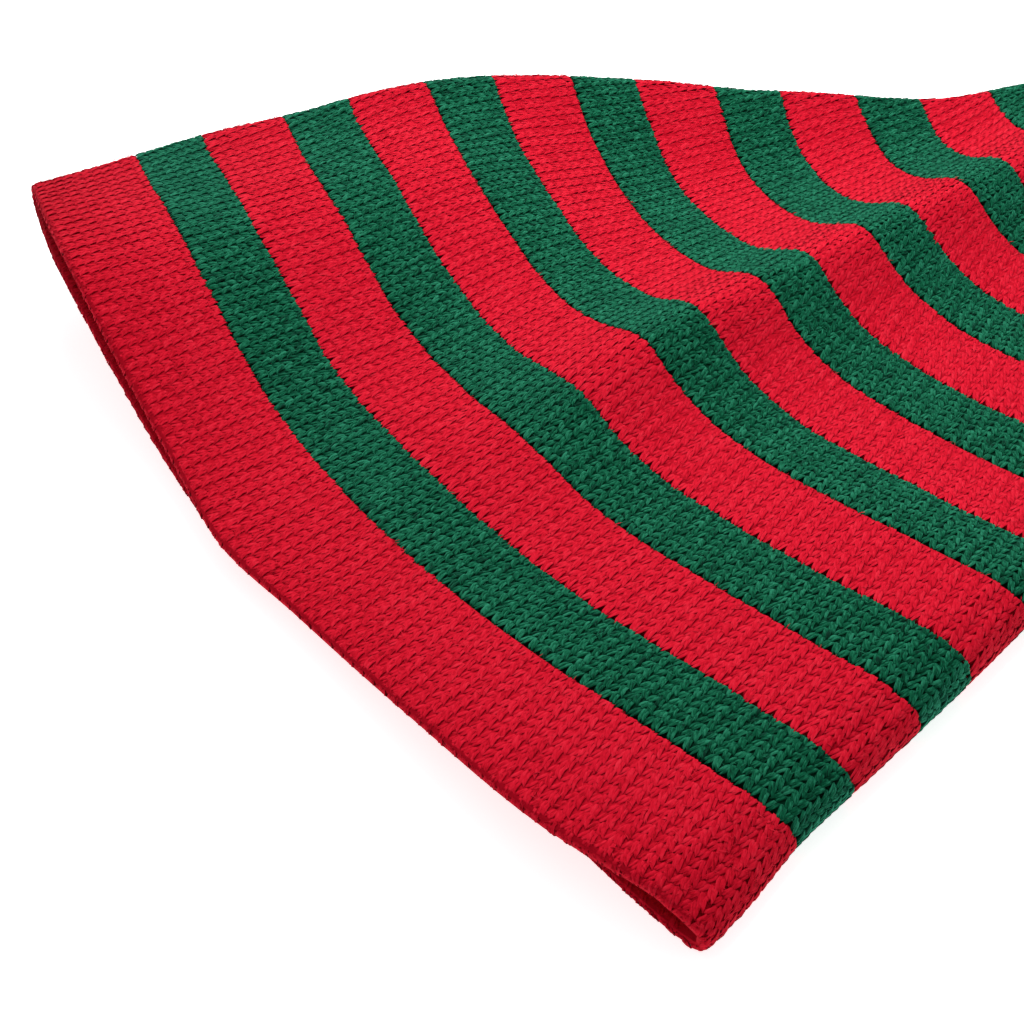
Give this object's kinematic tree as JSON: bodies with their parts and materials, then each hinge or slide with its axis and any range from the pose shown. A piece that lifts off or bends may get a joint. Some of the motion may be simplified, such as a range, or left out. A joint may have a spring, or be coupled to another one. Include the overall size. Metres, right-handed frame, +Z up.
{
  "type": "knitted santa hat",
  "caption": "Long knitted santa hat in red and green bands, lying flat on its side with a plain turned hem, soft folds and a narrow closed tail.",
  "frame": {"origin": "on the surface that the hat lies on, under the middle of its bounding box", "axes": "+X runs from the mouth to the tip, +Y across the hat to the edge that lies puffed up, +Z up from the surface"},
  "size_m": [0.3884, 0.2702, 0.0322],
  "materials": {
    "red_yarn": "soft knitted acrylic yarn, matt with a fine fuzz",
    "green_yarn": "soft knitted acrylic yarn, matt with a fine fuzz"
  },
  "bodies": {
    "root": {"hem": "red_yarn", "band_01_green": "green_yarn", "band_02_red": "red_yarn", "band_03_green": "green_yarn", "band_04_red": "red_yarn", "band_05_green": "green_yarn", "band_06_red": "red_yarn", "band_07_green": "green_yarn", "band_08_red": "red_yarn", "band_09_green": "green_yarn", "band_10_red": "red_yarn", "band_11_green": "green_yarn", "band_12_red": "red_yarn", "band_13_green": "green_yarn", "band_14_red": "red_yarn", "band_15_green": "green_yarn", "band_16_red": "red_yarn", "band_17_green": "green_yarn", "band_18_red": "red_yarn", "tip": "green_yarn"}
  },
  "joints": []
}
